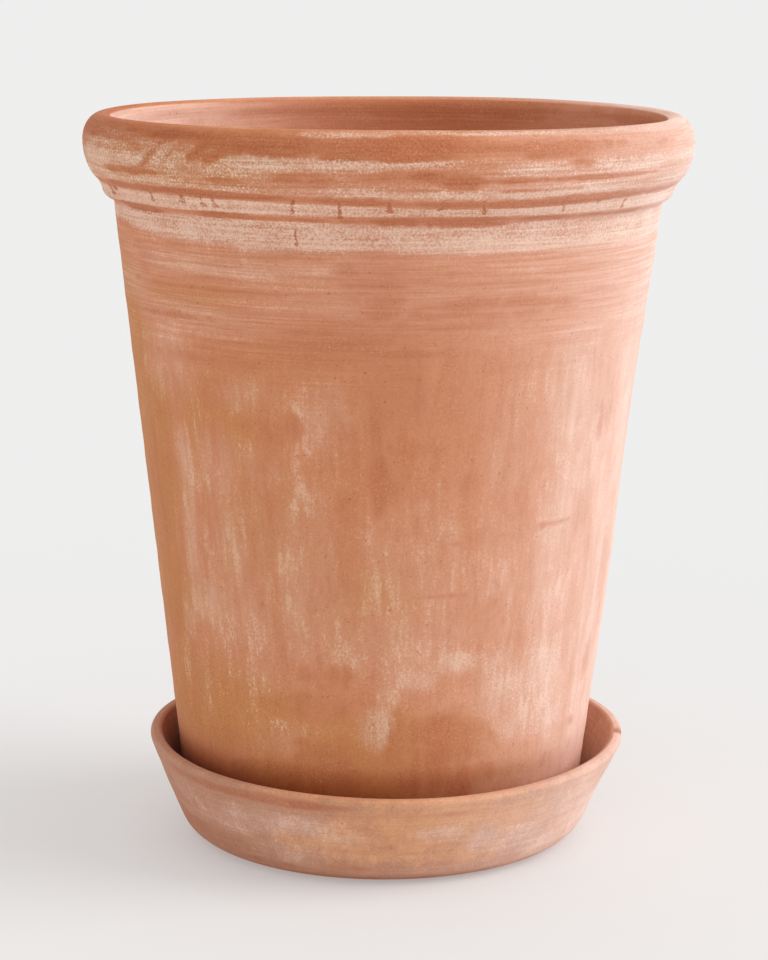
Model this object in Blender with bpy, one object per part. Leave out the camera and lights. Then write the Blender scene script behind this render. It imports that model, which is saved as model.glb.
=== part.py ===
"""A tall terracotta planter standing in its drip saucer: two fired-clay pieces, each turned about the Z axis.

Metres, +Z up. The origin is the centre of the saucer's underside, on the surface that the planter stands on.
The pot is modelled from its own foot and then set down on the saucer's floor.
"""

import math

import bmesh
import bpy

# Both pieces
TURN_STEPS = 72          # facets round the axis
SEAT_GAP = 0.0003        # between the pot's foot and the saucer's floor
MERGE_DISTANCE = 0.00001
SHARP_EDGE = math.radians(32)

# Pot, heights measured from its own foot
POT_HEIGHT = 0.4958
RIM_RADIUS = 0.2100      # widest part of the rolled rim
RIM_WIDEST_HEIGHT = 0.4785
RIM_CREST_RADIUS = 0.1968
RIM_MOUTH_RADIUS = 0.1868  # where the lip turns down into the pot
RIM_LIP_DROP = 0.0110
ROLL_OVERHANG = 0.0190   # radial half-axis of the roll's lower side
ROLL_DEPTH = 0.0300      # vertical half-axis of the roll's lower side
ROLL_START = math.radians(-63)  # angle on that ellipse where the roll leaves the cove
BAND_RADIUS = 0.1970
BAND_ROUND = 0.0075      # quarter round under the raised band
WALL_TOP_RADIUS = 0.1892
WALL_TOP_HEIGHT = 0.4392
WALL_FOOT_RADIUS = 0.1378  # the wall's straight line, carried down to the foot
WALL_THICKNESS = 0.0140
FOOT_ROUND_WIDTH = 0.0130
FOOT_ROUND_HEIGHT = 0.0220
FLOOR_THICKNESS = 0.0160
INNER_FLOOR_ROUND = 0.0120
DRAIN_RADIUS = 0.0140
DRAIN_CHAMFER = 0.0020

# Saucer, heights measured from its underside
SAUCER_HEIGHT = 0.0695
SAUCER_RADIUS = 0.1685
LIP_WIDTH = 0.0086
LIP_ROUND = 0.0030
SAUCER_WALL_SLOPE = math.radians(24)  # outwards from vertical
SAUCER_WALL_THICKNESS = 0.0070
SAUCER_FOOT_ROUND = 0.0275
SAUCER_FOOT_CENTRE = 0.1201  # radius of the circle that the foot round's centre lies on
SAUCER_FOOT_DIP = math.radians(8.4)  # how far short of flat the foot round meets the underside
SAUCER_FLOOR = 0.0130
SAUCER_INNER_ROUND = 0.0070

CLAY = (0.52, 0.22, 0.115, 1.0)
SAUCER_CLAY = (0.50, 0.23, 0.135, 1.0)
CLAY_ROUGHNESS = 0.85


def arc(centre, radii, start, end, segments):
    """Points on an ellipse about centre, from one angle to another, both ends included."""
    points = []
    for step in range(segments + 1):
        angle = start + (end - start) * step / segments
        points.append((centre[0] + radii[0] * math.cos(angle), centre[1] + radii[1] * math.sin(angle)))
    return points


def wall_radius(height):
    """Radius of the pot's straight outer wall at a height above its foot."""
    slope = (WALL_TOP_RADIUS - WALL_FOOT_RADIUS) / WALL_TOP_HEIGHT
    return WALL_FOOT_RADIUS + slope * height


def pot_profile():
    """The pot's closed section: over the crest, down the outside, through the drain hole and up the inside."""
    rim_crest = arc(
        (RIM_CREST_RADIUS, RIM_WIDEST_HEIGHT),
        (RIM_RADIUS - RIM_CREST_RADIUS, POT_HEIGHT - RIM_WIDEST_HEIGHT),
        math.radians(90), 0, 6,
    )
    roll_underside = arc(
        (RIM_RADIUS - ROLL_OVERHANG, RIM_WIDEST_HEIGHT), (ROLL_OVERHANG, ROLL_DEPTH), 0, ROLL_START, 6
    )
    band = arc(
        (BAND_RADIUS - BAND_ROUND, WALL_TOP_HEIGHT + BAND_ROUND), (BAND_ROUND, BAND_ROUND),
        0, math.radians(-90), 4,
    )
    foot_angle = math.radians(-8)
    foot = arc(
        (wall_radius(FOOT_ROUND_HEIGHT) - FOOT_ROUND_WIDTH, FOOT_ROUND_HEIGHT),
        (FOOT_ROUND_WIDTH, FOOT_ROUND_HEIGHT), foot_angle, math.radians(-90), 5,
    )
    drain = [
        (DRAIN_RADIUS + DRAIN_CHAMFER, 0.0),
        (DRAIN_RADIUS, DRAIN_CHAMFER),
        (DRAIN_RADIUS, FLOOR_THICKNESS - DRAIN_CHAMFER),
        (DRAIN_RADIUS + DRAIN_CHAMFER, FLOOR_THICKNESS),
    ]
    inner_round_height = FLOOR_THICKNESS + INNER_FLOOR_ROUND
    inner_floor = arc(
        (wall_radius(inner_round_height) - WALL_THICKNESS - INNER_FLOOR_ROUND, inner_round_height),
        (INNER_FLOOR_ROUND, INNER_FLOOR_ROUND), math.radians(-90), 0, 4,
    )
    inner_top = [(wall_radius(WALL_TOP_HEIGHT) - WALL_THICKNESS, WALL_TOP_HEIGHT)]
    mouth = arc(
        (RIM_CREST_RADIUS, POT_HEIGHT - RIM_LIP_DROP),
        (RIM_CREST_RADIUS - RIM_MOUTH_RADIUS, RIM_LIP_DROP), math.radians(180), math.radians(90), 5,
    )[:-1]
    return rim_crest + roll_underside[1:] + band + foot + drain + inner_floor + inner_top + mouth


def saucer_foot_centre():
    """Centre of the round that joins the saucer's wall to its underside."""
    return (SAUCER_FOOT_CENTRE, SAUCER_FOOT_ROUND * math.cos(SAUCER_FOOT_DIP))


def saucer_wall_radius(height):
    """Radius of the saucer's straight outer wall, which leaves the foot round on a tangent."""
    radius, centre_height = saucer_foot_centre()
    tangent_radius = radius + SAUCER_FOOT_ROUND * math.cos(SAUCER_WALL_SLOPE)
    tangent_height = centre_height - SAUCER_FOOT_ROUND * math.sin(SAUCER_WALL_SLOPE)
    return tangent_radius + (height - tangent_height) * math.tan(SAUCER_WALL_SLOPE)


def saucer_profile():
    """The saucer's section from the middle of its floor, out over the lip and back under to the axis."""
    wall_width = SAUCER_WALL_THICKNESS / math.cos(SAUCER_WALL_SLOPE)
    round_height = SAUCER_FLOOR + SAUCER_INNER_ROUND
    inner_round = arc(
        (saucer_wall_radius(round_height) - wall_width - SAUCER_INNER_ROUND, round_height),
        (SAUCER_INNER_ROUND, SAUCER_INNER_ROUND), math.radians(-90), -SAUCER_WALL_SLOPE, 3,
    )
    lip_height = SAUCER_HEIGHT - LIP_ROUND
    lip_radii = (LIP_ROUND, LIP_ROUND)
    lip_inner = arc(
        (SAUCER_RADIUS - LIP_WIDTH + LIP_ROUND, lip_height), lip_radii, math.radians(170), math.radians(90), 3
    )
    lip_outer = arc((SAUCER_RADIUS - LIP_ROUND, lip_height), lip_radii, math.radians(90), -SAUCER_WALL_SLOPE, 4)
    foot = arc(
        saucer_foot_centre(), (SAUCER_FOOT_ROUND, SAUCER_FOOT_ROUND),
        -SAUCER_WALL_SLOPE, SAUCER_FOOT_DIP - math.radians(90), 6,
    )
    return [(0.0, SAUCER_FLOOR)] + inner_round + lip_inner + lip_outer + foot + [(0.0, 0.0)]


def clay_material(name, colour):
    material = bpy.data.materials.new(name)
    material.use_nodes = True
    shader = material.node_tree.nodes["Principled BSDF"]
    shader.inputs["Base Color"].default_value = colour
    shader.inputs["Roughness"].default_value = CLAY_ROUGHNESS
    shader.inputs["Metallic"].default_value = 0.0
    return material


def turned_piece(name, profile, closed, material):
    """Turns a profile in the XZ plane once round Z, as clay on a wheel."""
    turned = bmesh.new()
    points = [turned.verts.new((radius, 0.0, height)) for radius, height in profile]
    edges = [turned.edges.new(pair) for pair in zip(points, points[1:])]
    if closed:
        edges.append(turned.edges.new((points[-1], points[0])))
    bmesh.ops.spin(
        turned, geom=points + edges, cent=(0.0, 0.0, 0.0), axis=(0.0, 0.0, 1.0),
        angle=math.tau, steps=TURN_STEPS, use_merge=True,
    )
    bmesh.ops.remove_doubles(turned, verts=turned.verts, dist=MERGE_DISTANCE)
    bmesh.ops.recalc_face_normals(turned, faces=turned.faces)
    mesh = bpy.data.meshes.new(name)
    turned.to_mesh(mesh)
    turned.free()
    mesh.shade_smooth()
    mesh.set_sharp_from_angle(angle=SHARP_EDGE)
    mesh.materials.append(material)
    piece = bpy.data.objects.new(name, mesh)
    bpy.context.scene.collection.objects.link(piece)
    return piece


def main():
    for old in list(bpy.data.objects):
        bpy.data.objects.remove(old, do_unlink=True)
    planter = bpy.data.objects.new("planter", None)
    bpy.context.scene.collection.objects.link(planter)
    saucer = turned_piece("saucer", saucer_profile(), False, clay_material("saucer clay", SAUCER_CLAY))
    saucer.parent = planter
    pot = turned_piece("pot", pot_profile(), True, clay_material("pot clay", CLAY))
    pot.parent = planter
    pot.location = (0.0, 0.0, SAUCER_FLOOR + SEAT_GAP)


main()
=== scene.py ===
"""Weathered terracotta planter on its drip saucer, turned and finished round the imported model.

Laid out as an add-on: each piece is an operator whose sizes and colours are properties in the sidebar.
Metres, +Z up. Angles round a piece are in degrees from the front (-Y), positive towards +X.
"""

import math

import bpy
import numpy as np
from mathutils import Matrix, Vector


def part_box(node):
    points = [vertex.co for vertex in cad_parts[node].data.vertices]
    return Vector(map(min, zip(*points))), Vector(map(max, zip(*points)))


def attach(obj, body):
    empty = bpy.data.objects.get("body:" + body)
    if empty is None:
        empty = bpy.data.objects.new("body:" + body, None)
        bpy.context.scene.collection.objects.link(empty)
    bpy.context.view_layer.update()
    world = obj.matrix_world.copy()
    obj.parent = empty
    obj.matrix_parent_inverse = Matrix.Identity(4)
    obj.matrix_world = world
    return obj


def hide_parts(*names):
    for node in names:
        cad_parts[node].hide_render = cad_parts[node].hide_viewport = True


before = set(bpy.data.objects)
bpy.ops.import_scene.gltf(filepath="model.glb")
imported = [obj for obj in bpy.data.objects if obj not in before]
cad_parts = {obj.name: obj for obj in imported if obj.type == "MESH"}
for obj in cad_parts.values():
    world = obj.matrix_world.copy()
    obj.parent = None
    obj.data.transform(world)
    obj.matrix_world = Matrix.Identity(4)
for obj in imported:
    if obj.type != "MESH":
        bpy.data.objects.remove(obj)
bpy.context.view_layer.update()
POT_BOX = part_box("pot")
SAUCER_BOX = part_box("saucer")

bl_info = {
    "name": "Weathered Planter",
    "version": (1, 0, 0),
    "blender": (4, 5, 0),
    "location": "View3D > Sidebar > Planter",
    "description": "Turns a flared clay pot and its saucer and gives them a lime-bloomed, weathered finish",
    "category": "Object",
}

FLOOR_REACH = 60.0  # metres from the axis to the floor's edges


# ----------------------------------------------------------
# Settings
# ----------------------------------------------------------

def length(name, description, default):
    return bpy.props.FloatProperty(
        name=name, description=description, default=default, unit="LENGTH", precision=4
    )


def degrees(name, description, default):
    return bpy.props.FloatProperty(
        name=name, description=description, default=math.radians(default), subtype="ANGLE"
    )


def strength(name, description, default):
    return bpy.props.FloatProperty(name=name, description=description, default=default, min=0.0)


def colour(name, description, default):
    return bpy.props.FloatVectorProperty(
        name=name, description=description, default=default, size=3, subtype="COLOR", min=0.0, max=1.0
    )


class PotSettings(bpy.types.PropertyGroup):
    rim_radius: length("Rim radius", "Widest part of the rolled rim", POT_BOX[1].x)
    crest_radius: length("Crest radius", "Top of the rim", 0.1968)
    mouth_radius: length("Mouth radius", "Where the lip turns down into the pot", 0.1868)
    roll_drop: length("Roll drop", "From the crest down to the widest part of the roll", 0.0173)
    roll_depth: length("Roll depth", "Height of the roll's lower half", 0.0300)
    roll_overhang: length("Roll overhang", "Reach of the roll's lower half", 0.0190)
    band_radius: length("Band radius", "Widest part of the raised band", 0.1970)
    band_round: length("Band round", "Quarter round under the band", 0.0075)
    wall_top_radius: length("Wall top radius", "Outer wall just under the band", 0.1892)
    wall_top_drop: length("Wall top drop", "From the crest down to the underside of the band", 0.0566)
    wall_foot_radius: length("Wall foot radius", "Outer wall's line carried down to the foot", 0.1378)
    wall_thickness: length("Wall thickness", "Clay between outside and inside", 0.0140)
    floor_thickness: length("Floor thickness", "Clay under the soil", 0.0160)
    foot_round: length("Foot round", "Height of the rounding at the foot", 0.0220)
    foot_tuck: length("Foot tuck", "Width of the rounding at the foot", 0.0130)
    inner_round: length("Inner round", "Rounding between wall and floor inside", 0.0120)
    drain_radius: length("Drain radius", "Hole in the floor", 0.0140)
    lean: length("Lean", "How far the rim stands to the right of the foot", 0.0046)
    foot_shift: length("Foot shift", "Where the foot stands, left of the saucer's centre", -0.0018)


class SaucerSettings(bpy.types.PropertyGroup):
    radius: length("Radius", "Outer edge of the lip", SAUCER_BOX[1].x)
    height: length("Height", "Crest of the lip", SAUCER_BOX[1].z)
    lip_width: length("Lip width", "Clay across the lip", 0.0086)
    lip_round: length("Lip round", "Rounding of the lip's two edges", 0.0030)
    wall_slope: degrees("Wall slope", "Outwards from vertical", 24)
    wall_thickness: length("Wall thickness", "Clay between outside and inside", 0.0070)
    foot_round: length("Foot round", "Radius of the rounding under the wall", 0.0275)
    foot_centre: length("Foot centre", "Circle that the foot round's centre lies on", 0.1201)
    floor: length("Floor", "Top of the floor", 0.0130)
    inner_round: length("Inner round", "Rounding between wall and floor inside", 0.0070)


class PotClaySettings(bpy.types.PropertyGroup):
    clay: colour("Clay", "Bare fired clay", (0.65, 0.252, 0.118))
    rosy: colour("Rosy clay", "Paler, pinker clay", (0.70, 0.292, 0.168))
    iron: colour("Iron stain", "Wet-looking red-brown clay", (0.50, 0.155, 0.065))
    ochre: colour("Ochre wash", "Yellow-brown wash", (0.60, 0.240, 0.082))
    lime: colour("Lime bloom", "Chalky salts on the surface", (0.86, 0.590, 0.450))
    # Painted sheen: the next two colours are the pale reflection of the key light, painted on the side
    # facing it
    painted_sheen_clay: colour("Clay under painted sheen", "Pale sheen painted on the side facing the key light", (0.94, 0.635, 0.535))
    painted_sheen_lime: colour("Lime under painted sheen", "Lime bloom with pale sheen painted on the key side", (0.95, 0.740, 0.650))


class SaucerClaySettings(bpy.types.PropertyGroup):
    clay: colour("Clay", "Bare fired clay", (0.56, 0.270, 0.165))
    rosy: colour("Rosy clay", "Greyer, duller clay", (0.56, 0.295, 0.200))
    iron: colour("Iron stain", "Wet-looking red-brown clay", (0.47, 0.150, 0.070))
    ochre: colour("Straw wash", "Pale yellow-brown wash", (0.74, 0.350, 0.165))
    lime: colour("Lime bloom", "Chalky salts on the surface", (0.84, 0.600, 0.500))
    # Painted sheen: the next two colours are the pale reflection of the key light, painted on the side
    # facing it
    painted_sheen_clay: colour("Clay under painted sheen", "Pale sheen painted on the side facing the key light", (0.90, 0.615, 0.525))
    painted_sheen_lime: colour("Lime under painted sheen", "Lime bloom with pale sheen painted on the key side", (0.92, 0.720, 0.640))


class StageSettings(bpy.types.PropertyGroup):
    floor_colour: colour("Floor", "Plain pale floor", (0.55, 0.55, 0.55))
    floor_glow: strength("Floor glow", "Light that comes up through the floor", 0.300)
    sky: strength("Sky", "Even light from all round", 0.76)
    backdrop: strength("Backdrop", "How bright the background looks behind the floor", 0.858)
    key: strength("Key", "Strength of the soft key light", 1.45)
    key_softness: degrees("Key softness", "Spread of the key light", 40)
    key_azimuth: degrees("Key azimuth", "Where the key stands, round from the front to the right", 86)
    key_height: degrees("Key height", "Above the horizon", 34)
    distance: length("Camera distance", "From the axis, towards the front", 1.937)
    eye_height: length("Eye height", "Camera above the floor", 0.6255)
    pitch: degrees("Pitch", "Camera tilt below level", 10.93)
    roll: degrees("Roll", "Camera turned about its view", 0.1031324)
    lens: bpy.props.FloatProperty(name="Lens", description="Focal length in millimetres", default=105.0)


# ----------------------------------------------------------
# Turned shapes
# ----------------------------------------------------------

def arc(centre, radii, start, end, count):
    """Points on an ellipse: centre + radii * (cos, sin) of count angles from start to end, in degrees."""
    angle = np.radians(np.linspace(start, end, count))
    return np.stack([centre[0] + radii[0] * np.cos(angle), centre[1] + radii[1] * np.sin(angle)], axis=1)


def line(start, end, count):
    """Points evenly between two others, which are left out."""
    share = np.linspace(0.0, 1.0, count + 2)[1:-1, None]
    return np.asarray(start) * (1 - share) + np.asarray(end) * share


def joined(*pieces):
    """Pieces of one outline in a row. A number between two pieces puts that many points along the gap."""
    outline = [pieces[0]]
    for before, count, after in zip(pieces[0::2], pieces[1::2], pieces[2::2]):
        outline += [line(before[-1], after[0], count), after]
    return np.concatenate(outline)


def turned_grid(outline, columns, closed):
    """Heights and radii of the outline carried round the axis: x = r sin a, y = -r cos a.

    An open outline starts and ends on the axis, and each end becomes one point. Returns points, faces,
    the angle and the outline row of every point."""
    rows = outline if closed else outline[1:-1]
    angle = np.arange(columns) * (2 * math.pi / columns)
    radius = np.repeat(rows[:, 0], columns)
    height = np.repeat(rows[:, 1], columns)
    angles = np.tile(angle, len(rows))
    points = np.stack([radius * np.sin(angles), -radius * np.cos(angles), height], axis=1)
    row_ids = np.repeat(np.arange(len(rows)), columns)
    index = np.arange(len(rows) * columns).reshape(len(rows), columns)
    if closed:
        index = np.concatenate([index, index[:1]])
    right = np.roll(index, -1, axis=1)
    quads = np.stack([index[:-1], index[1:], right[1:], right[:-1]], axis=-1).reshape(-1, 4)
    faces = quads.tolist()
    if not closed:
        poles = np.array([[0.0, 0.0, outline[0, 1]], [0.0, 0.0, outline[-1, 1]]])
        top, bottom = len(points), len(points) + 1
        points = np.concatenate([points, poles])
        angles = np.concatenate([angles, [0.0, 0.0]])
        row_ids = np.concatenate([row_ids, [0, len(rows) - 1]])
        faces += np.stack([np.full(columns, top), index[0], right[0]], axis=1).tolist()
        faces += np.stack([np.full(columns, bottom), right[-1], index[-1]], axis=1).tolist()
    return points, faces, np.degrees(angles), row_ids


def new_piece(name, points, faces, marks, material):
    """A mesh object at the origin with smooth faces and one float attribute for each mark."""
    mesh = bpy.data.meshes.new(name)
    mesh.from_pydata(points.tolist(), [], faces)
    for mark, values in marks.items():
        mesh.attributes.new(mark, "FLOAT", "POINT").data.foreach_set("value", values.astype(np.float32))
    mesh.shade_smooth()
    mesh.materials.append(material)
    piece = bpy.data.objects.new(name, mesh)
    bpy.context.scene.collection.objects.link(piece)
    return piece


def turned_by(angle, centre):
    """Signed degrees from centre to angle, between -180 and 180."""
    return (angle - centre + 180.0) % 360.0 - 180.0


def bump(angle, height, centre, middle, half_angle, half_height):
    """A smooth hump on the surface: exp(-(a^2 + b^2)^1.3), a and b being the distances in half widths."""
    across = turned_by(angle, centre) / half_angle
    up = (height - middle) / half_height
    return np.exp(-((across**2 + up**2) ** 1.3))


def stroke(angle, height, centre, middle, half_angle, half_height):
    """A brush stroke with a flat top and rounded ends: exp(-(a^4 + b^4))."""
    across = turned_by(angle, centre) / half_angle
    up = (height - middle) / half_height
    return np.exp(-(across**4) - up**4)


WIPE_LEAN = 330.0  # degrees round the piece for each metre that a wipe rises


def wipe(angle, height, centre, middle, half_angle, half_height):
    """A slanted wipe of the fingers: a hump whose centre moves round the piece by WIPE_LEAN * rise."""
    leaning = angle - WIPE_LEAN * (height - middle)
    return bump(leaning, height, centre, middle, half_angle, half_height)


def patches(angle, height, places, shape=bump):
    """The strongest of a list of places at each point.

    A place is (degrees, metres, half width in degrees, half height in metres, amount)."""
    mark = np.zeros_like(angle)
    for centre, middle, half_angle, half_height, amount in places:
        mark = np.maximum(mark, amount * shape(angle, height, centre, middle, half_angle, half_height))
    return mark


def scattered(seed, count, angles, heights, widths, tallness, amounts):
    """Strokes at seeded random places, for the sides that face away from the front."""
    rng = np.random.default_rng(seed)
    low, high = np.array([angles, heights, widths, tallness, amounts]).T
    return [tuple(row) for row in low + (high - low) * rng.random((count, 5))]


def waves(angle, waves_round):
    """Sum of cosines round the axis: amount * cos(times * angle + phase in degrees)."""
    total = np.zeros_like(angle)
    for times, amount, phase in waves_round:
        total += amount * np.cos(np.radians(times * angle + phase))
    return total


def smooth_step(low, high, value):
    """3 s^2 - 2 s^3, s being the share of the way from low to high, held between 0 and 1."""
    share = np.clip((value - low) / (high - low), 0.0, 1.0)
    return share * share * (3 - 2 * share)


def between(height, foot, rise, top, fall):
    """A smooth step up over rise from the foot, times a smooth step down over fall to the top."""
    return smooth_step(foot, foot + rise, height) * smooth_step(top, top - fall, height)


# ----------------------------------------------------------
# Pot
# ----------------------------------------------------------

POT_COLUMNS = 360
WIDE_RING, FINE_RING = 0.041, 0.019  # metres between throwing rings
BAND_TOP = 0.4530  # heights on the rim where the lime changes
BEAD_FOOT, BEAD_TOP = 0.4545, 0.4652
ROLL_FOOT, ROLL_TOP = 0.4670, 0.4960
POT_BACK = (100, 260)  # degrees of the side that faces away from the front


def pot_outline(pot):
    """The closed section: over the crest, down the outside, through the drain hole and up the inside."""
    foot, crest = POT_BOX[0].z, POT_BOX[1].z
    widest, wall_top = crest - pot.roll_drop, crest - pot.wall_top_drop
    slope = (pot.wall_top_radius - pot.wall_foot_radius) / (wall_top - foot)

    def wall(height):
        return pot.wall_foot_radius + slope * (height - foot)

    roll_out = pot.rim_radius - pot.crest_radius
    roll_top = arc((pot.crest_radius, widest), (roll_out, pot.roll_drop), 90, 0, 16)
    roll_under = arc(
        (pot.rim_radius - pot.roll_overhang, widest), (pot.roll_overhang, pot.roll_depth), -4, -63, 24
    )
    band_centre = (pot.band_radius - pot.band_round, wall_top + pot.band_round)
    band = arc(band_centre, (pot.band_round, pot.band_round), 0, -84, 12)
    edge = 0.0025
    wall_start = np.array([(wall(wall_top - edge), wall_top - edge)])
    foot_round = arc(
        (wall(foot + pot.foot_round) - pot.foot_tuck, foot + pot.foot_round),
        (pot.foot_tuck, pot.foot_round), -8, -90, 12,
    )
    soil = foot + pot.floor_thickness
    drain_low = arc((pot.drain_radius + edge, foot + edge), (edge, edge), 270, 180, 4)
    drain_high = arc((pot.drain_radius + edge, soil - edge), (edge, edge), 180, 90, 4)
    corner = soil + pot.inner_round
    inner_corner = arc(
        (wall(corner) - pot.wall_thickness - pot.inner_round, corner),
        (pot.inner_round, pot.inner_round), -90, -6, 8,
    )
    inner_top = np.array([(wall(wall_top) - pot.wall_thickness, wall_top)])
    lip_drop = 0.0110
    mouth = arc(
        (pot.crest_radius, crest - lip_drop), (pot.crest_radius - pot.mouth_radius, lip_drop), 176, 96, 11
    )
    return joined(
        roll_top, 0, roll_under, 5, band, 1, wall_start, 118, foot_round, 5, drain_low, 4,
        drain_high, 6, inner_corner, 30, inner_top, 9, mouth,
    )


def pot_shape(points, angle, pot):
    """What the wheel, the hands and the kiln did to the turned surface, as small pushes at each point.

    The radius takes an oval mouth, a hollow in the right side and soft throwing rings, all sums of cosines
    and humps. The foot is shifted and the rim leans with height. The rim is warped, and its band sags at
    the front right."""
    foot, crest = POT_BOX[0].z, POT_BOX[1].z
    height = points[:, 2]
    up = (height - foot) / (crest - foot)
    turn = np.radians(angle)
    rings = 0.00009 * np.sin(height * 2 * math.pi / WIDE_RING + turn)
    rings += 0.00006 * np.sin(height * 2 * math.pi / FINE_RING + 1.3 * np.sin(2 * turn))
    oval = waves(angle, ((2, 0.0005, 40), (3, 0.00035, 110), (5, 0.00018, 20))) * smooth_step(0.05, 0.9, up)
    hollow = -0.0013 * bump(angle, height, 90, 0.31, 55, 0.075)
    hollow += 0.0006 * bump(angle, height, 90, 0.18, 50, 0.05)
    push = oval + hollow + rings * smooth_step(0.04, 0.12, up) * smooth_step(0.93, 0.86, up)
    radius = np.hypot(points[:, 0], points[:, 1])
    keep = smooth_step(0.02, 0.10, radius)
    scale = 1 + push * keep / np.maximum(radius, 0.01)
    shaped = points.copy()
    shaped[:, 0] *= scale
    shaped[:, 1] *= scale
    shaped[:, 0] += pot.foot_shift + pot.lean * up
    side = np.sin(turn)
    warp = -0.0010 * side * np.abs(side)
    warp += waves(angle, ((2, 0.0004, 60), (3, 0.0003, 10), (7, 0.00012, 0)))
    shaped[:, 2] += np.minimum(warp, 0.0006) * smooth_step(0.75, 1.0, up)
    sag = 0.0042 * np.exp(-((turned_by(angle, 17) / 30.0) ** 2)) * (radius > pot.wall_top_radius + 0.0003)
    shaped[:, 2] -= sag * smooth_step(0.4535, 0.466, height) * smooth_step(0.483, 0.467, height)
    return shaped


# places: degrees, metres up, half width in degrees, half height in metres, amount
POT_LIME = (
    (-52, 0.285, 4, 0.026, 0.50), (-52, 0.225, 5, 0.055, 0.46), (-48, 0.190, 10, 0.022, 0.54),
    (-57, 0.172, 5, 0.022, 0.44), (-36, 0.235, 10, 0.045, 0.42), (-40, 0.285, 8, 0.035, 0.38),
    (-27, 0.285, 7, 0.024, 0.38), (-12, 0.322, 7, 0.030, 0.46), (-17, 0.262, 8, 0.026, 0.32),
    (-30, 0.335, 12, 0.016, 0.34), (12, 0.247, 2.6, 0.035, 0.44), (8, 0.265, 3, 0.012, 0.38),
    (26, 0.203, 5, 0.010, 0.46), (44, 0.335, 8, 0.050, 0.50), (53, 0.290, 8, 0.060, 0.50),
    (45, 0.250, 8, 0.040, 0.44), (-1, 0.113, 5, 0.018, 0.82), (1, 0.136, 5, 0.008, 0.46),
    (8, 0.146, 6, 0.009, 0.66), (18, 0.157, 10, 0.009, 0.64), (31, 0.140, 8, 0.030, 0.66),
    (43, 0.135, 10, 0.036, 0.60), (38, 0.108, 10, 0.014, 0.56), (50, 0.104, 8, 0.014, 0.60),
    (-25, 0.100, 16, 0.018, 0.30), (-32, 0.145, 14, 0.022, 0.29), (62, 0.190, 10, 0.110, 0.42),
    (72, 0.350, 12, 0.080, 0.36), (-70, 0.400, 14, 0.020, 0.36), (-5, 0.190, 22, 0.035, 0.32),
    (34, 0.205, 16, 0.040, 0.38), (-55, 0.350, 14, 0.030, 0.34), (-42, 0.384, 26, 0.016, 0.34),
    (28, 0.300, 9, 0.050, 0.30), (-34, 0.420, 36, 0.012, 0.42), (10, 0.398, 40, 0.020, 0.32),
    (16, 0.180, 12, 0.014, 0.34), (-30, 0.245, 6, 0.030, 0.44), (-56, 0.130, 10, 0.030, 0.27),
    (-28, 0.210, 36, 0.085, 0.38), (12, 0.220, 30, 0.060, 0.30), (0, 0.170, 28, 0.034, 0.38),
)
POT_OCHRE = (
    (-68, 0.310, 15, 0.034, 0.92), (-66, 0.270, 13, 0.070, 0.80), (-66, 0.190, 15, 0.050, 0.80),
    (-50, 0.115, 34, 0.040, 0.84), (-48, 0.400, 20, 0.014, 0.44), (-10, 0.200, 20, 0.050, 0.46),
    (0, 0.100, 32, 0.028, 0.84), (-40, 0.320, 18, 0.036, 0.46), (30, 0.300, 12, 0.040, 0.36),
    (-30, 0.250, 16, 0.050, 0.46), (-75, 0.360, 13, 0.070, 0.76), (8, 0.075, 60, 0.018, 0.90),
    (-80, 0.250, 12, 0.150, 0.70),
)
POT_IRON = (
    (2, 0.345, 10, 0.070, 0.58), (-10, 0.372, 20, 0.020, 0.60), (-26, 0.317, 7, 0.010, 0.46),
    (-1, 0.405, 9, 0.026, 0.60), (1, 0.290, 8, 0.026, 0.54), (12, 0.108, 17, 0.016, 0.50),
    (67, 0.140, 4, 0.016, 0.60), (57, 0.097, 8, 0.004, 0.60), (-38, 0.357, 24, 0.006, 0.48),
    (12, 0.384, 16, 0.0025, 0.60), (-52, 0.384, 20, 0.0025, 0.56), (-65, 0.240, 8, 0.080, 0.38),
    (72, 0.190, 5, 0.060, 0.46), (14, 0.330, 10, 0.060, 0.48), (24, 0.190, 9, 0.022, 0.40),
    (-16, 0.126, 14, 0.012, 0.42), (-36, 0.404, 30, 0.0030, 0.50), (20, 0.412, 26, 0.0030, 0.50),
    (-48, 0.090, 10, 0.020, 0.44), (58, 0.330, 6, 0.030, 0.36), (0, 0.076, 60, 0.012, 0.64),
    (2, 0.092, 44, 0.016, 0.46), (20, 0.240, 7, 0.0016, 0.56), (31, 0.2435, 7, 0.0016, 0.54),
    (43, 0.2465, 8, 0.0016, 0.36), (17, 0.2035, 9, 0.0016, 0.54), (-14, 0.148, 10, 0.010, 0.40),
    (20, 0.395, 34, 0.016, 0.50),
)
RIM_LIME_AND_HIGHLIGHT = (
    (-69, 0.4850, 12, 0.0085, 0.86), (-52, 0.4860, 10, 0.0080, 0.62), (-42, 0.4880, 8, 0.0110, 0.64),
    (-22, 0.4890, 9, 0.0080, 0.78), (-8, 0.4890, 12, 0.0060, 0.72), (6, 0.4890, 10, 0.0035, 0.64),
    (26, 0.4850, 9, 0.0042, 0.74), (50, 0.4862, 14, 0.0048, 0.82), (28, 0.4725, 34, 0.0028, 0.80),
    # (-6, 0.5060) and (22, 0.5075) paint a pale highlight along the front crest, drawn through the lime
    # wash
    (66, 0.4735, 16, 0.0030, 0.76), (-4, 0.4725, 12, 0.0035, 0.60), (-6, 0.5060, 14, 0.0022, 0.72),
    (22, 0.5075, 34, 0.0016, 0.72), (80, 0.4880, 12, 0.0090, 0.54), (-46, 0.4735, 14, 0.0035, 0.60),
    (-62, 0.4705, 8, 0.0030, 0.54), (-78, 0.4780, 10, 0.0100, 0.70), (-58, 0.5020, 12, 0.0030, 0.44),
    (-66, 0.4955, 14, 0.0050, 0.62), (-45, 0.4970, 12, 0.0040, 0.46), (-31, 0.4965, 9, 0.0040, 0.46),
)
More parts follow.
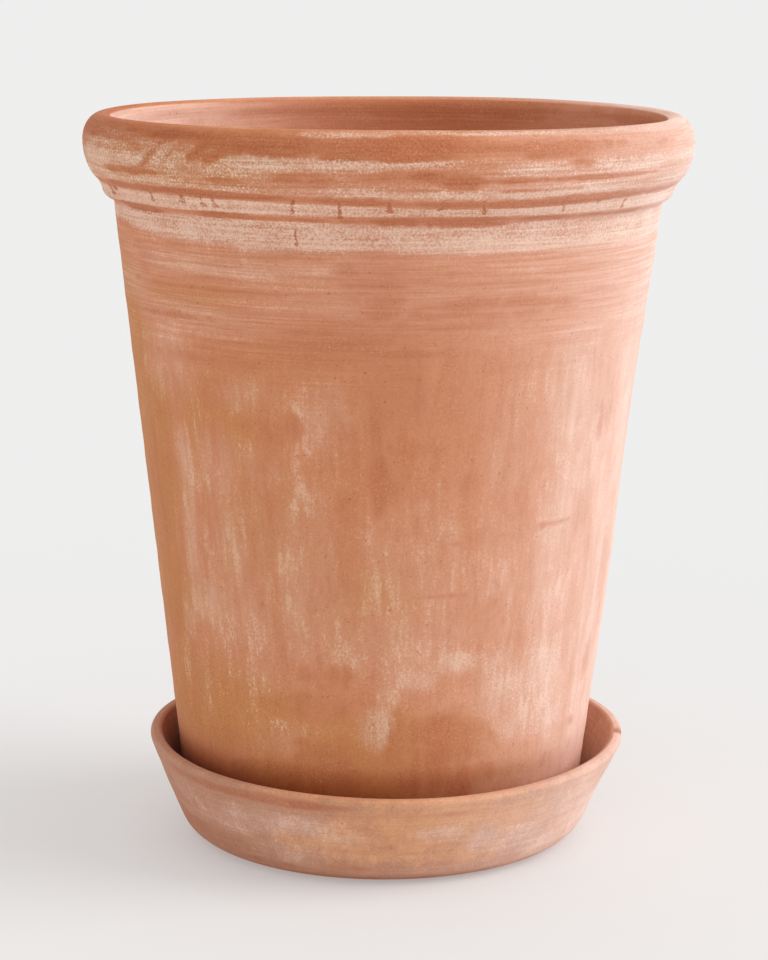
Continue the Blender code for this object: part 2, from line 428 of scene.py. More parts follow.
RIM_IRON = (
    (4, 0.4985, 20, 0.0090, 0.92), (30, 0.4985, 22, 0.0080, 0.74), (-18, 0.4990, 14, 0.0075, 0.84),
    (-15, 0.4780, 8, 0.0050, 0.80), (2, 0.4805, 14, 0.0050, 0.56), (7, 0.4818, 5, 0.0048, 0.92),
    (13, 0.4795, 5, 0.0056, 0.92), (9, 0.4845, 8, 0.0024, 0.72), (20, 0.4790, 24, 0.0020, 0.62),
    (46, 0.4792, 22, 0.0018, 0.66), (32, 0.4666, 46, 0.0036, 0.96), (-72, 0.4995, 14, 0.0050, 0.50),
    (-34, 0.4672, 30, 0.0028, 0.90), (-28, 0.4755, 18, 0.0035, 0.54), (-44, 0.5030, 20, 0.0040, 0.60),
    (-60, 0.4674, 14, 0.0022, 0.66), (36, 0.4890, 4, 0.0045, 0.64), (54, 0.4975, 20, 0.0060, 0.46),
    (-8, 0.4930, 8, 0.0030, 0.58), (-52, 0.4785, 10, 0.0030, 0.50), (24, 0.4740, 12, 0.0010, 0.62),
)
RIM_WIPES = (
    (-47, 0.4880, 1.5, 0.0125, 0.46), (-41, 0.4920, 1.4, 0.0135, 0.50), (-36, 0.4910, 1.7, 0.0140, 0.48),
    (-31, 0.4930, 1.5, 0.0120, 0.42),
)
# flat strokes along the groove under the bead: the same five values
UNDER_BAND = (
    (-57, 0.4533, 9, 0.0032, 0.86), (-34, 0.4535, 7, 0.0026, 0.80), (-20, 0.4525, 12, 0.0018, 0.62),
    (8, 0.4523, 19, 0.0042, 0.86), (42, 0.4528, 24, 0.0022, 0.76), (-78, 0.4535, 10, 0.0018, 0.62),
)


def pot_lime(angle, height):
    """Lime bloom outside: patches, a pale band whose lower edge wavers, the bead above it and the roll,
    with a painted highlight along the front crest.
    """
    turn = np.radians(angle)
    band_low = 0.4300 + 0.0080 * smooth_step(5, 70, -turned_by(angle, 0))
    band_low += 0.0010 * np.cos(5 * turn) + 0.0008 * np.cos(11 * turn + 1)
    pale_band = smooth_step(band_low - 0.0022, band_low + 0.0030, height)
    pale_band *= smooth_step(BAND_TOP, BAND_TOP - 0.0035, height)
    pale_band *= 0.78 - 0.22 * bump(angle, height, 18, 0.4490, 38, 0.0065)
    bead = between(height, BEAD_FOOT, 0.0015, BEAD_TOP, 0.0017)
    roll = between(height, ROLL_FOOT, 0.0030, ROLL_TOP, 0.0060)
    roll *= 0.44 - 0.22 * bump(angle, height, 6, 0.481, 28, 0.013)
    body_back = scattered(11, 34, POT_BACK, (0.09, 0.40), (4, 14), (0.012, 0.055), (0.36, 0.62))
    rim_back = scattered(12, 16, POT_BACK, (0.470, 0.492), (8, 24), (0.002, 0.007), (0.50, 0.75))
    spread = patches(angle, height, (*POT_LIME, *body_back, *RIM_LIME_AND_HIGHLIGHT, *rim_back))
    return np.maximum.reduce([spread, pale_band, 0.80 * bead, roll])


def pot_iron(angle, height):
    """Iron stain outside: patches, slanted wipes on the roll and flat strokes above and below the bead."""
    body_back = scattered(21, 18, POT_BACK, (0.09, 0.42), (4, 14), (0.008, 0.060), (0.36, 0.55))
    rim_back = scattered(22, 12, POT_BACK, (0.474, 0.503), (6, 24), (0.002, 0.007), (0.60, 0.92))
    under_bead = scattered(23, 6, POT_BACK, (0.4525, 0.4535), (8, 20), (0.0015, 0.003), (0.60, 0.95))
    over_bead = scattered(24, 4, POT_BACK, (0.4665, 0.4675), (14, 30), (0.0015, 0.002), (0.60, 0.90))
    return np.maximum.reduce([
        patches(angle, height, (*POT_IRON, *body_back, *RIM_IRON, *rim_back)),
        patches(angle, height, RIM_WIPES, wipe),
        patches(angle, height, (*UNDER_BAND, *under_bead, *over_bead), stroke),
    ])


def pot_ochre(angle, height):
    """Yellow-brown wash outside: patches, and a thin coat over the left half of the roll."""
    body_back = scattered(31, 14, POT_BACK, (0.09, 0.40), (8, 26), (0.015, 0.050), (0.36, 0.70))
    left_side = smooth_step(0, -30, turned_by(angle, 0)) * smooth_step(-110, -95, turned_by(angle, 0))
    coat = smooth_step(0.466, 0.474, height) * (0.58 - 0.30 * smooth_step(0.490, 0.500, height))
    return np.maximum(patches(angle, height, (*POT_OCHRE, *body_back)), coat * left_side)


def pot_marks(points, angle, outline, row_ids):
    """Where each wash, painted shade and painted sheen lies on the pot, from the untouched turned surface.
    """
    height = points[:, 2]
    radius = np.hypot(points[:, 0], points[:, 1])
    rising = np.gradient(outline[:, 1])[row_ids] > 0
    inside = rising & (radius > 0.02) & (height < POT_BOX[1].z - 0.002)
    outside = ~inside & (height > POT_BOX[0].z + 0.004)

    rosy = between(height, 0.345, 0.055, 0.500, 0.030)
    # Painted sheen: the pale reflection of the key light, painted into the colour on the side facing it,
    # centred at 88 degrees
    painted_sheen = 0.94 * np.exp(-((turned_by(angle, 88) / 49.0) ** 2))
    ragged = waves(angle, ((2, 0.010, 30), (5, 0.006, 80), (9, 0.004, 10)))
    brushed = smooth_step(0.325, 0.400, height + ragged)
    shaded = 0.40 * bump(angle, height, -72, 0.506, 42, 0.016)
    # Painted shade: the foot is darkened where it stands in the saucer, most on the left, away from the key
    # light
    painted_foot_shade = (0.80 - 0.70 * np.sin(np.radians(angle))) * smooth_step(0.088, 0.052, height)
    sandy = np.maximum(smooth_step(0.425, 0.440, height), 0.30 * smooth_step(0.19, 0.15, height))

    # Painted light: the inner wall at the left, towards the back, where the key light falls inside the pot,
    # is painted paler and less red, with painted sheen and no painted shade
    sunny = bump(angle, height, -104, 0.480, 52, 0.07)
    # A paler, less red patch on the inner wall at the back right, with a little painted sheen
    pale_back_right = bump(angle, height, 124, 0.490, 26, 0.07)
    tide_marks = scattered(41, 14, (-60, 260), (0.30, 0.50), (10, 34), (0.006, 0.03), (0.3, 0.6))
    inner_lime = patches(angle, height, ((-100, 0.47, 42, 0.05, 0.34), *tide_marks))
    return {
        "lime": np.where(outside, pot_lime(angle, height), inner_lime * smooth_step(0.28, 0.40, height)),
        "iron": np.where(outside, pot_iron(angle, height), 1.0 - 0.96 * sunny - 0.66 * pale_back_right),
        "ochre": np.where(outside, pot_ochre(angle, height), 0.15),
        "painted_sheen": np.where(outside, painted_sheen, 0.74 * sunny + 0.12 * pale_back_right),
        "rosy": np.where(outside, rosy, 0.4),
        # Painted shade: at the foot in the saucer, on the top of the roll at the left, and thinly over the
        # whole inside except where the key light falls
        "painted_shade": np.where(outside, np.maximum(painted_foot_shade, shaded), 0.10 - 0.10 * sunny),
        "wheel": np.where(outside, brushed, 1.0),
        "crisp": np.where(outside, sandy, 0.2),
    }


# ----------------------------------------------------------
# Saucer
# ----------------------------------------------------------

SAUCER_COLUMNS = 400
SAUCER_BACK = (85, 275)  # degrees of the side that faces away from the front
NICK_AT = 86  # degrees of the nick in the lip


def saucer_outline(saucer):
    """The open section from the middle of the floor, out over the lip, and back under to the axis."""
    slope = math.degrees(saucer.wall_slope)
    dip = 8.4  # degrees by which the foot round stops short of flat
    centre = (saucer.foot_centre, saucer.foot_round * math.cos(math.radians(dip)))
    tangent = (
        centre[0] + saucer.foot_round * math.cos(saucer.wall_slope),
        centre[1] - saucer.foot_round * math.sin(saucer.wall_slope),
    )

    def wall(height):
        return tangent[0] + (height - tangent[1]) * math.tan(saucer.wall_slope)

    width = saucer.wall_thickness / math.cos(saucer.wall_slope)
    corner = saucer.floor + saucer.inner_round
    inner = arc(
        (wall(corner) - width - saucer.inner_round, corner), (saucer.inner_round, saucer.inner_round),
        -90, -slope, 10,
    )
    lip = saucer.height - saucer.lip_round
    rounds = (saucer.lip_round, saucer.lip_round)
    lip_in = arc((saucer.radius - saucer.lip_width + saucer.lip_round, lip), rounds, 170, 90, 8)
    lip_out = arc((saucer.radius - saucer.lip_round, lip), rounds, 90, -slope, 10)
    foot = arc(centre, (saucer.foot_round, saucer.foot_round), -slope, dip - 90, 26)
    start, end = np.array([(0.0, saucer.floor)]), np.array([(0.0, 0.0)])
    return joined(start, 24, inner, 34, lip_in, 5, lip_out, 40, foot, 24, end)


def saucer_shape(points, angle, saucer):
    """Lip higher at its two sides, most at the left, with one shallow nick; the underside stays flat."""
    height = points[:, 2]
    up = np.clip(height / saucer.height, 0.0, 1.0)
    radius = np.hypot(points[:, 0], points[:, 1])
    wall = smooth_step(0.12, 0.145, radius)
    side = np.sin(np.radians(angle))
    warp = 0.0028 - 0.0012 * side + waves(angle, ((1, -0.0022, 0), (2, -0.0018, 0)))
    warp += waves(angle, ((3, 0.00035, 30), (5, 0.00022, 80)))
    push = waves(angle, ((2, 0.0004, 70), (3, 0.0003, 20), (6, 0.00014, 0)))
    push += 0.00015 * np.sin(height * 2 * math.pi / 0.017 + np.radians(angle))
    nick = 0.0008 * np.exp(-((turned_by(angle, NICK_AT) / 1.6) ** 2)) * smooth_step(0.060, 0.066, height)
    scale = 1 + (push * wall * up - nick) / np.maximum(radius, 0.02)
    shaped = points.copy()
    shaped[:, 0] *= scale
    shaped[:, 1] *= scale
    shaped[:, 0] += 0.0018 * smooth_step(0.030, 0.0695, height) * wall
    shaped[:, 2] += (warp * up - nick) * wall * smooth_step(0.006, 0.03, height)
    return shaped


SAUCER_LIME = (
    (-30, 0.044, 22, 0.012, 0.46), (-44, 0.040, 20, 0.016, 0.36), (-22, 0.024, 16, 0.010, 0.42),
    (-12, 0.038, 12, 0.010, 0.42), (-20, 0.045, 12, 0.010, 0.60), (14, 0.042, 7, 0.007, 0.72),
    (26, 0.034, 5, 0.014, 0.68), (38, 0.028, 11, 0.011, 0.74), (46, 0.020, 10, 0.007, 0.88),
    (-62, 0.040, 16, 0.022, 0.34), (66, 0.030, 16, 0.022, 0.50), (50, 0.045, 14, 0.012, 0.42),
)
SAUCER_OCHRE = (
    (6, 0.044, 26, 0.026, 0.82), (-8, 0.030, 24, 0.016, 0.66), (30, 0.048, 22, 0.016, 0.70),
    (20, 0.024, 20, 0.012, 0.66), (56, 0.040, 20, 0.030, 0.50), (10, 0.058, 30, 0.008, 0.70),
)
SAUCER_IRON = (
    (-72, 0.0350, 16, 0.0300, 0.44), (-40, 0.0625, 24, 0.0045, 0.95), (-20, 0.0625, 15, 0.0040, 0.95),
    (2, 0.0580, 28, 0.0024, 0.42), (-58, 0.0230, 20, 0.0080, 0.42), (86, 0.0660, 2.4, 0.0080, 1.00),
    (-14, 0.0140, 12, 0.0040, 0.44), (4, 0.0270, 18, 0.0014, 0.36), (-35, 0.0100, 22, 0.0030, 0.48),
)


def saucer_marks(points, angle, outline, row_ids):
    """Where each wash, painted shade and painted sheen lies on the saucer: outer wall, lip, painted shade
    inside, and an iron-stained foot with painted shade where it meets the floor.
    """
    height = points[:, 2]
    radius = np.hypot(points[:, 0], points[:, 1])
    turn = np.radians(angle)
    rising = np.gradient(outline[:, 1])[np.clip(row_ids + 1, 0, len(outline) - 1)] > 0
    inside = rising | ((height > 0.008) & (radius < 0.13))
    lip = smooth_step(0.0625, 0.0655, height)
    # The lowest few millimetres: an iron stain on the foot, and painted shade where it meets the floor
    scuffed_and_shaded_foot = smooth_step(0.010, 0.003, height)
    scratched = bump(angle, height, -23, 0.018, 12, 0.008)

    lime_back = scattered(51, 16, SAUCER_BACK, (0.012, 0.055), (6, 18), (0.005, 0.016), (0.40, 0.62))
    iron_back = scattered(52, 8, SAUCER_BACK, (0.015, 0.060), (8, 24), (0.002, 0.005), (0.30, 0.60))
    ochre_back = scattered(53, 6, SAUCER_BACK, (0.02, 0.05), (14, 30), (0.010, 0.020), (0.40, 0.70))
    lime = np.maximum(patches(angle, height, (*SAUCER_LIME, *lime_back)), 0.52 * scratched)
    iron = np.maximum(patches(angle, height, (*SAUCER_IRON, *iron_back)), 0.40 * scuffed_and_shaded_foot)
    worn = 0.80 * lip * np.exp(-((turned_by(angle, 12) / 40.0) ** 2))
    ochre = np.maximum(patches(angle, height, (*SAUCER_OCHRE, *ochre_back)), worn)
    # Painted sheen: the pale reflection of the key light, painted on the saucer's right side, with none
    # over the nick
    painted_sheen = 0.82 * np.exp(-((turned_by(angle, 80) / 50.0) ** 2))
    painted_sheen *= 1 - bump(angle, height, NICK_AT, 0.066, 2.6, 0.009)

    # Painted shade inside the saucer, deepest on the left, where the pot shades it from the key light
    painted_inner_shade = smooth_step(0.068, 0.040, height) * (0.34 - 0.40 * np.sin(turn))
    # Painted shade low on the left half of the outer wall, away from the key light
    painted_low_shade = 0.20 * smooth_step(0.036, 0.012, height) * smooth_step(0, -45, turned_by(angle, 0))
    return {
        "lime": np.where(inside, 0.32, lime),
        # Inside, an even iron stain, made heavier on the left and lighter on the right as painted shade and
        # painted light from the key light
        "iron": np.where(inside, 0.32 - 0.20 * np.sin(turn), iron),
        "ochre": np.where(inside & (lip < 0.5), 0.20, ochre),
        "painted_sheen": np.where(inside, 0.0, painted_sheen),
        "rosy": np.where(inside, 0.3, 0.5 - 0.4 * np.cos(turn)),
        "painted_shade": np.where(inside, np.maximum(painted_inner_shade, 0.0), np.maximum(painted_low_shade, 0.35 * scuffed_and_shaded_foot)),
        "wheel": 0.50 - 0.50 * scratched,
        "crisp": np.full_like(angle, 0.15),
    }


# ----------------------------------------------------------
# Fired clay
# ----------------------------------------------------------

class Nodes:
    """A short way to add shader nodes to a tree and join them up."""

    def __init__(self, tree):
        self.tree = tree

    def add(self, kind, inputs=None, **settings):
        node = self.tree.nodes.new(kind)
        for name, value in settings.items():
            setattr(node, name, value)
        for socket, value in (inputs or {}).items():
            if isinstance(value, bpy.types.NodeSocket):
                self.tree.links.new(value, node.inputs[socket])
            else:
                node.inputs[socket].default_value = value
        return node

    def math(self, operation, first, second=0.0, third=0.0, clamp=False):
        inputs = {0: first, 1: second, 2: third}
        return self.add("ShaderNodeMath", inputs, operation=operation, use_clamp=clamp).outputs[0]

    def noise(self, vector, scale, detail=3.0, roughness=0.55, distortion=0.0):
        node = self.add("ShaderNodeTexNoise", {
            "Vector": vector, "Scale": scale, "Detail": detail,
            "Roughness": roughness, "Distortion": distortion,
        })
        return node.outputs["Fac"]

    def stretched(self, vector, x, y, z):
        return self.add("ShaderNodeVectorMath", {0: vector, 1: (x, y, z)}, operation="MULTIPLY").outputs[0]

    def ramp(self, value, low, high, bottom=0.0, top=1.0):
        """Smooth step of a value from low to high, spread over bottom to top."""
        node = self.add("ShaderNodeMapRange", {
            "Value": value, "From Min": low, "From Max": high, "To Min": bottom, "To Max": top
        }, interpolation_type="SMOOTHSTEP")
        return node.outputs["Result"]

    def mix(self, factor, first, second):
        node = self.tree.nodes.new("ShaderNodeMix")
        node.data_type = "RGBA"
        for socket, value in (("Factor_Float", factor), ("A_Color", first), ("B_Color", second)):
            target = next(s for s in node.inputs if s.identifier == socket)
            if isinstance(value, bpy.types.NodeSocket):
                self.tree.links.new(value, target)
            else:
                target.default_value = value
        return next(s for s in node.outputs if s.identifier == "Result_Color")

    def group(self, tree, inputs):
        node = self.tree.nodes.new("ShaderNodeGroup")
        node.node_tree = tree
        for name, value in inputs.items():
            if isinstance(value, bpy.types.NodeSocket):
                self.tree.links.new(value, node.inputs[name])
            else:
                node.inputs[name].default_value = value
        return node.outputs

    def mark(self, name):
        return self.add("ShaderNodeAttribute", attribute_name=name).outputs["Fac"]


def node_group(name, inputs, outputs):
    """A new shader group with float outputs. Returns the group, its nodes and its two ends' sockets."""
    group = bpy.data.node_groups.new(name, "ShaderNodeTree")
    for socket, kind in inputs.items():
        group.interface.new_socket(socket, in_out="INPUT", socket_type=kind)
    for socket in outputs:
        group.interface.new_socket(socket, in_out="OUTPUT", socket_type="NodeSocketFloat")
    nodes = Nodes(group)
    start = group.nodes.new("NodeGroupInput")
    end = group.nodes.new("NodeGroupOutput")
    return group, nodes, start.outputs, end.inputs


VECTOR, FLOAT = "NodeSocketVector", "NodeSocketFloat"


def hand_marks_group():
    """Marks of the wheel and of the wet hand: lines round the piece and wipes down it, blended by Wheel."""
    group, n, given, result = node_group("Hand Marks", {"Vector": VECTOR, "Wheel": FLOAT}, ("Lay", "Fine"))
    brushed = n.noise(n.stretched(given["Vector"], 8, 8, 150), 1.0, 5.0, 0.62, 0.25)
    fine_lines = n.noise(n.stretched(given["Vector"], 14, 14, 720), 1.0, 3.0, 0.60)
    wiped = n.noise(n.stretched(given["Vector"], 40, 40, 5.5), 1.0, 4.0, 0.58, 0.35)
    fine_wipes = n.noise(n.stretched(given["Vector"], 240, 240, 26), 1.0, 3.0, 0.60, 0.3)
    lines = n.math("MULTIPLY_ADD", fine_lines, 0.30, n.math("MULTIPLY", brushed, 0.70))
    wipes = n.math("MULTIPLY_ADD", fine_wipes, 0.16, n.math("MULTIPLY", wiped, 0.84))
    lay = n.math("MULTIPLY_ADD", n.math("SUBTRACT", lines, wipes), given["Wheel"], wipes)
    fine = n.math("MULTIPLY_ADD", n.math("SUBTRACT", fine_lines, fine_wipes), given["Wheel"], fine_wipes)
    group.links.new(lay, result["Lay"])
    group.links.new(fine, result["Fine"])
    return group


def clay_grain_group():
    """Grog and pores of fired clay: a sandy grain, small dark pits and a soft mottle."""
    group, n, given, result = node_group("Clay Grain", {"Vector": VECTOR}, ("Grain", "Pits", "Mottle"))
    grain = n.noise(given["Vector"], 700.0, 3.0, 0.75)
    pits = n.ramp(n.noise(given["Vector"], 430.0, 1.0, 0.5), 0.29, 0.22)
    mottle = n.noise(given["Vector"], 34.0, 6.0, 0.70, 0.4)
    group.links.new(grain, result["Grain"])
    group.links.new(pits, result["Pits"])
    group.links.new(mottle, result["Mottle"])
    return group


def wash_group():
    """How thickly a wash lies: its mark, broken up by mottle, hand marks and grain, then hardened."""
    pattern_names, strength_names = ("Mottle", "Lay", "Grain"), ("Break Up", "Streak", "Speckle")
    inputs = dict.fromkeys(("Mark", *pattern_names, *strength_names, "Edge", "Softness"), FLOAT)
    group, n, given, result = node_group("Wash", inputs, ("Amount",))
    total = given["Mark"]
    for pattern_name, strength_name in zip(pattern_names, strength_names):
        centred = n.math("SUBTRACT", given[pattern_name], 0.5)
        total = n.math("MULTIPLY_ADD", centred, given[strength_name], total)
    low = n.math("SUBTRACT", given["Edge"], given["Softness"])
    high = n.math("ADD", given["Edge"], given["Softness"])
    amount = n.ramp(total, low, high)
    present = n.ramp(given["Mark"], 0.02, 0.12)
    group.links.new(n.math("MULTIPLY", amount, present), result["Amount"])
    return group


DROP_HEIGHT = 0.0017


def drip_group():
    """One run of slip: a thin line down the surface from Top to End, with a round drop at its end."""
    inputs = dict.fromkeys(("Angle", "Height", "Wander", "At", "Width", "Top", "End"), FLOAT)
    group, n, given, result = node_group("Drip", inputs, ("Amount",))
    offset = n.math("ADD", n.math("SUBTRACT", given["Angle"], given["At"]), given["Wander"])
    offset = n.math("ABSOLUTE", n.math("DIVIDE", offset, given["Width"]))
    rise = n.math("SUBTRACT", given["Height"], given["End"])
    line = n.math("MULTIPLY", n.ramp(offset, 0.70, 0.25), n.ramp(rise, 0.0004, 0.0014))
    line = n.math("MULTIPLY", line, n.ramp(n.math("SUBTRACT", given["Height"], given["Top"]), 0.0012, 0.0))
    drop = n.math("POWER", n.math("MULTIPLY_ADD", rise, 1 / DROP_HEIGHT, -0.7), 2.0)
    drop = n.ramp(n.math("MULTIPLY_ADD", offset, offset, drop), 1.15, 0.40)
    group.links.new(n.math("MAXIMUM", line, drop), result["Amount"])
    return group


GROUPS = {"hand": hand_marks_group, "grain": clay_grain_group, "wash": wash_group, "drip": drip_group}


def shared_groups():
    """The four effects that both clays use, each built once."""
    names = {"hand": "Hand Marks", "grain": "Clay Grain", "wash": "Wash", "drip": "Drip"}
    return {key: bpy.data.node_groups.get(names[key]) or build() for key, build in GROUPS.items()}


# each run of slip: degrees, half width in degrees, lower end in metres
DRIPS = (
    (-67.0, 1.40, 0.4590), (-64.5, 1.00, 0.4625), (-49.8, 0.85, 0.4590), (-41.2, 0.95, 0.4602),
    (-35.8, 0.75, 0.4590), (-33.2, 0.90, 0.4586), (-17.0, 0.62, 0.4566), (-8.0, 0.60, 0.4540),
    (0.6, 0.72, 0.4584), (10.0, 0.60, 0.4598), (18.2, 0.70, 0.4566), (34.5, 0.55, 0.4565),
    (43.0, 0.52, 0.4602), (51.0, 0.66, 0.4552), (116.0, 0.80, 0.4570), (149.0, 0.62, 0.4550),
    (-163.0, 0.85, 0.4590), (-128.0, 0.65, 0.4560), (-102.0, 0.80, 0.4585),
)
DRIP_TOP = 0.4655
BAND_DRIP = (-17.5, 0.60, 0.4465, 0.4355)  # the same, but with its top before its lower end


def drips(n, groups, vector):
    """The runs of slip over the raised band, each at its own angle round the pot: atan2(x, -y)."""
    place = n.add("ShaderNodeSeparateXYZ", {0: vector}).outputs
    turn = n.math("ARCTAN2", place["X"], n.math("MULTIPLY", place["Y"], -1.0))
    angle = n.math("MULTIPLY", turn, 180 / math.pi)
    wander = n.math("MULTIPLY_ADD", n.noise(vector, 75.0, 1.0, 0.5), 2.8, -1.4)
    amount = 0.0
    for at, width, top, end in [*((at, width, DRIP_TOP, end) for at, width, end in DRIPS), BAND_DRIP]:
        run = n.group(groups["drip"], {
            "Angle": angle, "Height": place["Z"], "Wander": wander,
            "At": at, "Width": width, "Top": top, "End": end,
        })
        amount = n.math("MAXIMUM", amount, run["Amount"])
    return amount


def rgba(value):
    return (*value, 1.0)


def washed_clay(n, groups, vector, clay, hand, grain, runs):
    """Bare and rosy clay under its washes, with a pale sheen painted on the side facing the key light.
    Returns the colour, the iron stain's mask and the lime's.
    """
    patterns = {"Mottle": grain["Mottle"], "Lay": hand["Lay"], "Grain": grain["Grain"]}

    def wash(mark, break_up, streak, speckle, edge, softness):
        inputs = dict(patterns, Mark=mark, Edge=edge, Softness=softness, Speckle=speckle, Streak=streak)
        return n.group(groups["wash"], {**inputs, "Break Up": break_up})["Amount"]

    clouds = n.noise(vector, 10.0, 3.0, 0.5)
    softly = n.math("ADD", n.math("MULTIPLY", hand["Lay"], 0.5), n.math("MULTIPLY", clouds, 0.5))
    rosy = n.ramp(n.math("MULTIPLY_ADD", n.mark("rosy"), 0.22, softly), 0.38, 0.84)
    ochre = wash(n.mark("ochre"), 1.6, 1.2, 0.3, 0.44, 0.34)
    crisp = n.mark("crisp")

    iron = wash(n.mark("iron"), 2.0, 2.4, 0.7, 0.50, 0.31)
    uneven = n.math("MULTIPLY_ADD", hand["Lay"], 1.8, n.math("MULTIPLY_ADD", crisp, 0.32, -0.24))
    iron = n.math("MULTIPLY", iron, uneven, clamp=True)
    if runs:
        slip = n.math("MULTIPLY", drips(n, groups, vector), n.ramp(crisp, 0.6, 0.9))
        iron = n.math("MAXIMUM", iron, slip)

    lime_mark = n.math("SUBTRACT", n.mark("lime"), n.math("MULTIPLY", iron, 0.50), clamp=True)
    patterns["Lay"] = n.math("MULTIPLY_ADD", hand["Fine"], 0.45, n.math("MULTIPLY", hand["Lay"], 0.55))
    streaky = n.math("MULTIPLY_ADD", crisp, -1.5, 2.7)
    sandy = n.math("MULTIPLY_ADD", crisp, 1.3, 1.5)
    softness = n.math("MULTIPLY_ADD", crisp, -0.05, 0.29)
    lime = wash(lime_mark, 1.4, streaky, sandy, 0.55, softness)
    lime = n.math("MULTIPLY", lime, n.math("MULTIPLY_ADD", crisp, 0.34, 0.42))
    film = n.math("MULTIPLY_ADD", hand["Lay"], 1.2, -0.26)
    film = n.math("MULTIPLY", n.ramp(lime_mark, 0.06, 0.70), film, clamp=True)
    dust = n.math("MULTIPLY", n.ramp(grain["Grain"], 0.56, 0.74), n.ramp(grain["Mottle"], 0.44, 0.60))
    dust = n.math("MULTIPLY", dust, n.math("MULTIPLY_ADD", crisp, -0.34, 0.34))
    lime = n.math("MAXIMUM", n.math("MAXIMUM", lime, film), dust)

    # Painted sheen: clay and lime are mixed towards their paler sheen colours where the sheen is painted,
    # and the iron is thinned there
    painted_sheen = n.math("MULTIPLY", n.mark("painted_sheen"), n.ramp(hand["Lay"], 0.25, 0.75, 0.80, 1.20), clamp=True)
    base = n.mix(rosy, rgba(clay.clay), rgba(clay.rosy))
    base = n.mix(n.math("MULTIPLY", ochre, 0.85), base, rgba(clay.ochre))
    base = n.mix(painted_sheen, base, rgba(clay.painted_sheen_clay))
    stained = n.math("MULTIPLY", iron, n.math("MULTIPLY_ADD", painted_sheen, -0.48, 0.86))
    base = n.mix(stained, base, rgba(clay.iron))
    base = n.mix(lime, base, n.mix(painted_sheen, rgba(clay.lime), rgba(clay.painted_sheen_lime)))
    return base, iron, lime


def toned_clay(n, base, hand, grain):
    """The colour deepened where the tone is low and where shade is painted, then scaled by the same."""
    tone = n.math("MULTIPLY_ADD", hand["Lay"], 0.34, 0.65)
    tone = n.math("MULTIPLY_ADD", grain["Mottle"], 0.36, tone)
    fine = n.math("SUBTRACT", hand["Fine"], 0.5)
    tone = n.math("MULTIPLY_ADD", fine, n.math("MULTIPLY_ADD", n.mark("wheel"), 0.32, 0.14), tone)
    sand = n.math("SUBTRACT", grain["Grain"], 0.5)
    tone = n.math("MULTIPLY_ADD", sand, n.math("MULTIPLY_ADD", n.mark("crisp"), 0.50, 0.46), tone)
    tone = n.math("MULTIPLY_ADD", grain["Pits"], -0.22, tone)
    # Painted shade: deepens and darkens the colour where it is painted
    painted_shade = n.mark("painted_shade")
    depth = n.math("MULTIPLY_ADD", painted_shade, 0.5, n.math("MULTIPLY_ADD", tone, -0.8, 1.8))
    deepened = n.add("ShaderNodeGamma", {"Color": base, "Gamma": depth}).outputs[0]
    unshaded = n.math("MULTIPLY_ADD", painted_shade, -0.28, 1.0)
    shade = n.math("MULTIPLY", n.math("MULTIPLY_ADD", tone, 0.5, 0.5), unshaded)
    return n.add("ShaderNodeVectorMath", {0: deepened, "Scale": shade}, operation="SCALE").outputs[0]


def clay_relief(n, lime, hand, grain):
    """The normal of a surface raised by hand marks, grain and lime and sunk by pits, all in metres."""
    relief = n.math("MULTIPLY", hand["Fine"], 0.00014)
    for pattern, raised in (
        (hand["Lay"], 0.00030), (grain["Grain"], 0.00012), (lime, 0.00012), (grain["Pits"], -0.00025)
    ):
        relief = n.math("MULTIPLY_ADD", pattern, raised, relief)
    return n.add("ShaderNodeBump", {"Height": relief, "Strength": 0.7, "Distance": 1.0}).outputs["Normal"]


def fired_clay(name, clay, runs):
    """Fired clay: its washes, then its tone and its relief. Only the pot's clay has runs of slip."""
    groups = shared_groups()
    material = bpy.data.materials.new(name)
    material.use_nodes = True
    n = Nodes(material.node_tree)
    vector = n.add("ShaderNodeTexCoord").outputs["Object"]
    grain = n.group(groups["grain"], {"Vector": vector})
    hand = n.group(groups["hand"], {"Vector": vector, "Wheel": n.mark("wheel")})
    base, iron, lime = washed_clay(n, groups, vector, clay, hand, grain, runs)
    rough = n.math("MULTIPLY_ADD", lime, 0.10, n.math("MULTIPLY_ADD", iron, -0.10, 0.86))

    shader = material.node_tree.nodes["Principled BSDF"].inputs
    n.tree.links.new(toned_clay(n, base, hand, grain), shader["Base Color"])
    n.tree.links.new(rough, shader["Roughness"])
    n.tree.links.new(clay_relief(n, lime, hand, grain), shader["Normal"])
    shader["Specular IOR Level"].default_value = 0.20
    shader["Sheen Weight"].default_value = 0.03
    shader["Sheen Roughness"].default_value = 0.5
    return material


# ----------------------------------------------------------
# Operators
# ----------------------------------------------------------

class PLANTER_OT_saucer(bpy.types.Operator):
    """Turn the drip saucer"""

    bl_idname = "planter.saucer"
    bl_label = "Turn Saucer"

    def execute(self, context):
        settings = context.scene.planter_saucer
        outline = saucer_outline(settings)
        points, faces, angle, row_ids = turned_grid(outline, SAUCER_COLUMNS, closed=False)
        marks = saucer_marks(points, angle, outline, row_ids)
        material = fired_clay("saucer clay", context.scene.planter_saucer_clay, runs=False)
        piece = new_piece("turned_saucer", saucer_shape(points, angle, settings), faces, marks, material)
        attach(piece, "saucer")
        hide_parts("saucer")
        return {"FINISHED"}


class PLANTER_OT_pot(bpy.types.Operator):
    """Turn the flared pot"""

    bl_idname = "planter.pot"
    bl_label = "Turn Pot"

    def execute(self, context):
        settings = context.scene.planter_pot
        outline = pot_outline(settings)
        points, faces, angle, row_ids = turned_grid(outline, POT_COLUMNS, closed=True)
        marks = pot_marks(points, angle, outline, row_ids)
        material = fired_clay("pot clay", context.scene.planter_pot_clay, runs=True)
        piece = new_piece("turned_pot", pot_shape(points, angle, settings), faces, marks, material)
        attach(piece, "pot")
        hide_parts("pot")
        return {"FINISHED"}


